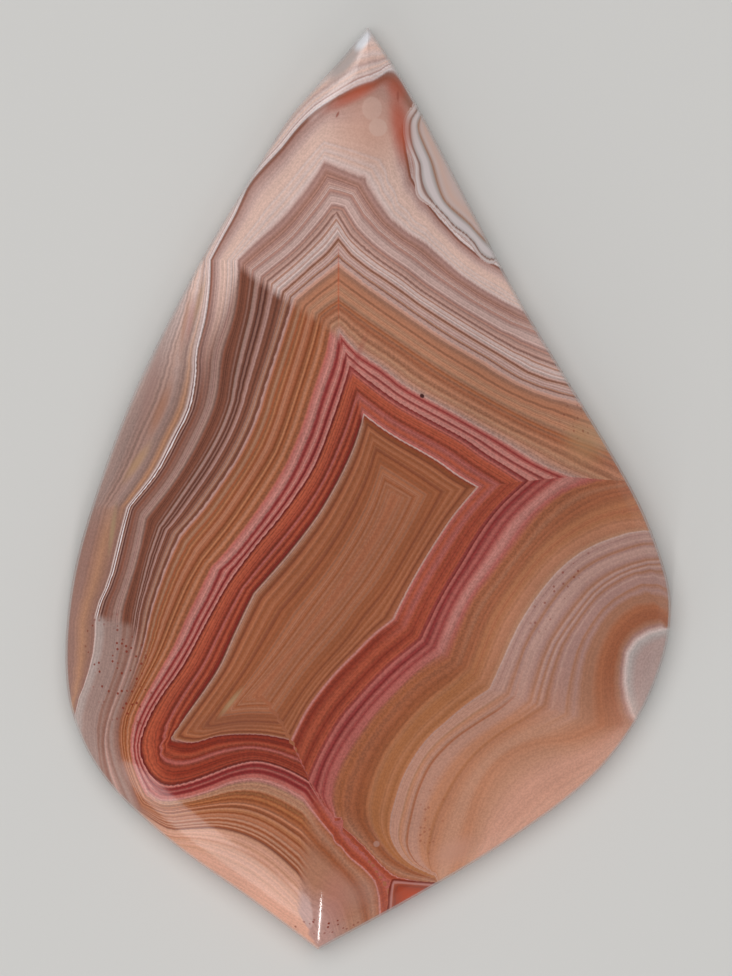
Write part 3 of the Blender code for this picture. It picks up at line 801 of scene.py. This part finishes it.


# %% [markdown]
# Stains, ghosts and pits cross the bands here and there, and a few pale ovals are painted light: a
# painted reflection and a painted glint at the long tip, and a painted sheen along the lower right
# edge. Each is a soft oval on the photograph: its middle and half sizes in pixels, its turn in
# degrees, its colour, how strongly it covers the bands, and where it begins to fade on the way out
# from its middle. A speckled place has a middle, half sizes, a turn and a cover.

# %% List the stains, the painted highlights and the speckled places
STAINS_AND_HIGHLIGHTS = [
    ((372, 125), (60, 62), 0, "apricot", 0.6, 0.1), ((355, 94), (46, 10), 28, "flame", 0.6, 0.1),
    ((396, 86), (20, 14), -50, "flame", 0.5, 0.1), ((400, 125), (15, 52), 8, "flame", 0.7, 0.1),
    ((410, 165), (6, 22), 12, "rust", 0.55, 0.1), ((372, 108), (11, 13), 0, "cream", 0.45, 0.8),
    ((378, 127), (10, 10), 0, "cream", 0.55, 0.8), ((337.5, 114), (1.6, 5), -25, "ember", 0.7, 0.3),
    ((398, 95), (2, 8), 0, "ember", 0.5, 0.3), ((422, 396), (3, 2.4), -35, "ink", 1.0, 0.6),
    ((338.5, 285), (1.2, 50), 0, "flame", 0.4, 0.4), ((354, 365), (5, 46), -22, "berry", 0.45, 0.1),
    ((588, 440), (34, 34), 0, "straw", 0.55, 0.1), ((184, 325), (4, 55), -8, "wheat", 0.5, 0.1),
    ((199, 300), (4, 34), -14, "straw", 0.5, 0.1), ((150, 385), (10, 60), -15, "mauve", 0.5, 0.1),
    ((112, 530), (4, 36), -8, "moss", 0.5, 0.1), ((336, 900), (24, 44), 0, "salmon", 0.4, 0.1),
    ((362, 895), (30, 26), 0, "mauve", 0.35, 0.1), ((376.5, 844), (3.6, 3.6), 0, "blush", 0.5, 0.7),
    ((235, 722), (70, 16), 6, "umber", 0.4, 0.1), ((231, 702), (26, 4), 51, "moss", 0.5, 0.1),
    # The first oval below, pale apricot along the lower right edge, is a painted sheen.
    ((455, 852), (34, 18), 30, "apricot", 0.7, 0.1), ((190, 318), (5, 34), -10, "salmon", 0.5, 0.1),
    ((160, 410), (8, 44), -22, "honey", 0.5, 0.1), ((137, 462), (7, 34), -35, "straw", 0.6, 0.1),
    # Below, the second oval, grey on the left flank of the long tip, is a painted reflection, and the last
    # oval, bluish white at the tip's point, is a painted glint.
    ((152, 356), (5, 40), -22, "dove", 0.4, 0.1), ((346, 58), (11, 36), -38, "dove", 0.85, 0.4),
    ((363, 38), (8, 17), -32, "glint_white", 0.85, 0.4),
]
SPECKLED = [
    ((125, 675), (38, 80), 12, 0.9), ((325, 927), (52, 11), 3, 1.0), ((580, 418), (26, 30), -20, 0.5),
    ((100, 660), (20, 60), 10, 0.9), ((560, 590), (22, 70), -35, 0.6), ((430, 820), (20, 60), -12, 0.4),
]
OVAL_HEIGHT = 4.0 * MM


def place_under(pixel):
    """The place on the stone, near the top of its dome, that falls on a pixel."""
    reach = PIXEL * (EYE_HEIGHT - OVAL_HEIGHT) / (EYE_HEIGHT - GIRDLE_HEIGHT)
    return (eye.x + (pixel[0] - photo_middle.x) * reach, eye.y - (pixel[1] - photo_middle.y) * reach, 0.0)


def oval(start, middle, half_sizes, turn, fade_from):
    """1 in the middle of an oval, and fading to 0 at its rim."""
    sizes = (half_sizes[0] * PIXEL, half_sizes[1] * PIXEL, 1.0)
    inside = start.add("ShaderNodeMapping", {"vector_type": "TEXTURE"},
                       {"Vector": start, "Location": place_under(middle),
                        "Rotation": (0.0, 0.0, math.radians(turn)), "Scale": sizes})
    out_from_middle = inside.add("ShaderNodeVectorMath", {"operation": "LENGTH"}, {0: inside}, out="Value")
    return out_from_middle.ramp(1.0, fade_from)


# %% [markdown]
# The material picks the wall that arrived first under each point, and with it that wall's bands.
# Every sum starts from the place on the stone, in Object coordinates, so the pattern stays put
# when the stone is moved. What was noted at the points comes back through Attribute nodes.

# %% Start the material
AGATE_IOR = 1.54
material = bpy.data.materials.new("banded_agate")
material.use_nodes = True
shader = material.node_tree.nodes["Principled BSDF"]
shader.inputs["IOR"].default_value = AGATE_IOR
here = Wire(material.node_tree.nodes.new("ShaderNodeTexCoord").outputs["Object"])


def reading(wall):
    """How far the wall's layers had grown at each place, and how far along the wall that is."""
    vector = here.add("ShaderNodeAttribute", {"attribute_name": wall}, {}, out="Vector")
    parts = {"Vector": vector}
    level = here.add("ShaderNodeSeparateXYZ", {}, parts, out="X")
    station = here.add("ShaderNodeSeparateXYZ", {}, parts, out="Y")
    return level, station


# %% [markdown]
# Along the west wall the colours change towards the blunt tip, which the station tells: the bands
# of the north give way to the west's own at the shoulder, then come the pale heel, the south lobe
# and the red seam at the foot. Two ramps mixed softly by the station keep the lines unbroken.

# %% Colour the west wall
HEEL, TOE = 2, 3  # stations where two spans of the west wall meet
level, station = reading("west")
past_shoulder = station.ramp(0.0, level.ramp(1.2, 2.2, 0.6, 0.04))
west = banded(level, NORTH_BANDS).mixed(banded(level, WEST_BANDS), past_shoulder)
at_heel = station.ramp(1.3, level.ramp(3.0, 6.3, 1.33, 1.62)) * level.ramp(6.2, 6.9, 1.0, 0.0)
at_heel = at_heel.math("MAXIMUM", at_heel, station.ramp(0.9, 1.1) * (level < 0.93))
west = west.mixed(banded(level, HEEL_BANDS), at_heel)
west = west.mixed(banded(level, SOUTH_BANDS), station.ramp(HEEL - 0.1, HEEL + 0.15))
west = west.mixed(banded(level, SUTURE_BANDS), station.ramp(TOE - 0.02, TOE + 0.2))
west_crisp = station.ramp(TOE - 0.05, TOE + 0.15, 1.0, 0.3).least(at_heel.ramp(0.0, 1.0, 1.0, 0.35))
print("nodes after the west wall", len(material.node_tree.nodes))

# %% [markdown]
# The east wall changes at its waist, between its two lobes. Where its level is less than the
# west's, its layers arrived first and its colours win, and so on with the walls in the north. One
# more wire, crisp, tells how strongly the finest lines show, since some walls grew more evenly.

# %% Let the wall that arrived first win
WAIST, EAST_TOE = 1, 2  # stations of the east wall
east_level, east_station = reading("east")
past_waist = east_station.ramp(WAIST - 0.25, WAIST + 0.2)
east = banded(east_level, EAST_BANDS).mixed(banded(east_level, SOUTH_EAST_BANDS), past_waist)
at_toe = east_station.ramp(EAST_TOE, EAST_TOE + 0.2) * (east_level > 7.0)
east = east.mixed(banded(east_level, SUTURE_BANDS), at_toe)

on_the_east = east_level < level
colour = west.mixed(east, on_the_east)
crisp = west_crisp + (east_level.ramp(4.5, 8.5, 0.2, 0.6) - west_crisp) * on_the_east
level = level.least(east_level)
for wall in ("north_east", "north_west", "north"):
    north_level, north_station = reading(wall)
    on_this_wall = north_level < level
    colour = colour.mixed(banded(north_level, NORTH_BANDS), on_this_wall)
    crisp = crisp + (north_level.ramp(1.8, 2.8, 0.3, 1.0) - crisp) * on_this_wall
    level = level.least(north_level)
colour = colour.mixed(banded(level, CENTRE_BANDS), level.ramp(10.1, 10.25))
crisp = crisp * level.ramp(10.0, 10.3, 1.0, 0.7) * level.ramp(11.6, 12.1, 1.0, 0.1)
print("nodes after all the walls", len(material.node_tree.nodes))

# %% [markdown]
# Real bands are made of still finer lines and of tiny grains. A noise in one dimension, over the
# level, gives lines that follow every bend. Noise in space gives grains and faint clouds. Light
# gets through the thin edge, so the colours grow paler down the shoulder, and the back doesn't.

# %% Lighten and darken the bands
FINE_LINES_PER_LEVEL = 7.0
GRAINS_PER_METRE = 9000.0
CLOUDS_PER_METRE = 260.0
THICK, THIN, BACK_EDGE = 4.4 * MM, 1.5 * MM, 0.2 * MM  # heights above the back
fine = level.add("ShaderNodeTexNoise", {"noise_dimensions": "1D"},
                 {"W": level, "Scale": FINE_LINES_PER_LEVEL, "Detail": 2.0, "Roughness": 0.9})
grain = here.add("ShaderNodeTexNoise", {}, {"Vector": here, "Scale": GRAINS_PER_METRE, "Detail": 1.0})
cloud = here.add("ShaderNodeTexNoise", {}, {"Vector": here, "Scale": CLOUDS_PER_METRE, "Detail": 3.0})
grainy = level.ramp(6.8, 7.6, 0.07, 0.12) * level.ramp(9.9, 10.2, 1.0, 0.5)
shade = (1.0 + crisp * fine.ramp(0.35, 0.65, -0.22, 0.2)
         + grain.ramp(0.35, 0.65, -1.0, 1.0) * grainy + cloud.ramp(0.3, 0.7, -0.05, 0.05))
shade = shade * (1.0 - on_the_east * 0.03)
height = here.add("ShaderNodeSeparateXYZ", {}, {"Vector": here}, out="Z")
shade = shade * height.ramp(THICK, THIN, 1.0, 1.25) * height.ramp(0.0, BACK_EDGE, 0.8, 1.0)
colour = colour.add("ShaderNodeVectorMath", {"operation": "SCALE"}, {0: colour, "Scale": shade})

# %% [markdown]
# The lens and the pocket are bodies of their own in the stone, so they cover the bands. Then come
# the soft stains and the painted highlights, and last the specks: round cells of a Voronoi pattern,
# fewer than half of them kept by chance, and only inside the speckled places.

# %% Lay the inlays, the stains, the painted highlights and the specks
SPECK_CELLS_PER_METRE = 4200.0
SPECK_RIM, SPECK_CORE = 0.34, 0.2
LEFT_OUT = 0.55
for inlay, inlay_bands in (("tip_lens", TIP_LENS_BANDS), ("pocket", POCKET_BANDS)):
    depth, along = reading(inlay)
    colour = colour.mixed(banded(depth, inlay_bands), depth > 0.0)
# These ovals are real stains, apart from the painted glint and reflection at the long tip and the painted
# sheen along the lower right edge.
for middle, half_sizes, turn, tone, cover, fade_from in STAINS_AND_HIGHLIGHTS:
    colour = colour.mixed(TONES[tone], oval(here, middle, half_sizes, turn, fade_from) * cover)

cells = {"Vector": here, "Scale": SPECK_CELLS_PER_METRE}
speck = here.add("ShaderNodeTexVoronoi", {}, cells, out="Distance").ramp(SPECK_RIM, SPECK_CORE)
cell_colour = here.add("ShaderNodeTexVoronoi", {}, cells, out="Color")
kept = here.add("ShaderNodeSeparateXYZ", {}, {"Vector": cell_colour}, out="X") > LEFT_OUT
speckled = None
for middle, half_sizes, turn, cover in SPECKLED:
    patch = oval(here, middle, half_sizes, turn, 0.4) * cover
    speckled = patch if speckled is None else speckled.math("MAXIMUM", speckled, patch)
colour = colour.mixed(TONES["garnet"], speck * kept * speckled)
print("stains", len(STAINS_AND_HIGHLIGHTS), "nodes in all", len(material.node_tree.nodes))

# %% [markdown]
# A hand polish is bright but not perfect. The same fine lines and grains make the gloss a little
# uneven and stand up by a few thousandths of a millimetre, because the layers are not all equally
# hard. A bump node is enough for that, as no outline shows it.

# %% Polish the stone
GLOSS = 0.07
RELIEF_HEIGHT = 0.004 * MM
roughness = GLOSS + fine.ramp(0.3, 0.7, 0.0, 0.05) + grain.ramp(0.3, 0.7, 0.0, 0.05)
relief = fine * 0.4 + grain * 0.3 + cloud
bump = here.add("ShaderNodeBump", {}, {"Height": relief, "Strength": 0.5, "Distance": RELIEF_HEIGHT})
for wire, where in ((colour, "Base Color"), (roughness, "Roughness"), (bump, "Normal")):
    material.node_tree.links.new(wire.socket, shader.inputs[where])

mesh.materials.append(material)
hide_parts("agate_cabochon")
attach(stone, "root")
print("finished", stone.name, "with", material.name)

# %% [markdown]
# The stage is a plain pale floor, a pale world and soft lights. The polished shoulder mirrors what
# stands low beside the stone, so a light at the lower left gives the sheen along that edge. The
# big fill light is hidden from mirror-like rays, so it leaves no bright disk on the polish.

# %% Lay the floor
FLOOR_SIZE = 1200 * MM
FLOOR_ROUGHNESS = 0.9
floor_mesh = bpy.data.meshes.new("floor")
bm = bmesh.new()
bmesh.ops.create_grid(bm, x_segments=1, y_segments=1, size=FLOOR_SIZE / 2)
bm.to_mesh(floor_mesh)
bm.free()
floor = bpy.data.objects.new("floor", floor_mesh)
bpy.context.scene.collection.objects.link(floor)
floor_material = bpy.data.materials.new("pale_floor")
floor_material.use_nodes = True
floor_shader = floor_material.node_tree.nodes["Principled BSDF"]
floor_shader.inputs["Base Color"].default_value = paint("c9c8c5")
floor_shader.inputs["Roughness"].default_value = FLOOR_ROUGHNESS
floor_mesh.materials.append(floor_material)
print("floor in m", FLOOR_SIZE)

# %% Light the stage
ROOM_STRENGTH = 0.33
world = bpy.data.worlds.new("pale_room")
world.use_nodes = True
room = world.node_tree.nodes["Background"]
room.inputs["Color"].default_value = paint("f4f4f6")
room.inputs["Strength"].default_value = ROOM_STRENGTH
bpy.context.scene.world = world
bpy.context.scene.view_settings.view_transform = "Standard"


def soft_light(name, place, width, height, watts, mirrored=True):
    """An oval lamp, with its sizes in metres, that faces the stone."""
    lamp = bpy.data.lights.new(name, "AREA")
    lamp.shape = "ELLIPSE"
    lamp.size = width
    lamp.size_y = height
    lamp.energy = watts
    light = bpy.data.objects.new(name, lamp)
    bpy.context.scene.collection.objects.link(light)
    light.location = place
    light.rotation_euler = Vector(place).to_track_quat("Z", "Y").to_euler()
    light.visible_glossy = mirrored
    print(name, "watts", watts)


soft_light("overhead_fill", (-0.06, 0.12, 0.7), width=0.9, height=0.9, watts=4.4, mirrored=False)
soft_light("edge_light", (-0.30, -0.40, 0.115), width=0.28, height=0.21, watts=0.33)
soft_light("tip_light", (-0.33, 0.35, 0.045), width=0.09, height=0.08, watts=0.045)
soft_light("ridge_glint", (-0.04, -0.5, 0.19), width=0.022, height=0.34, watts=0.7)
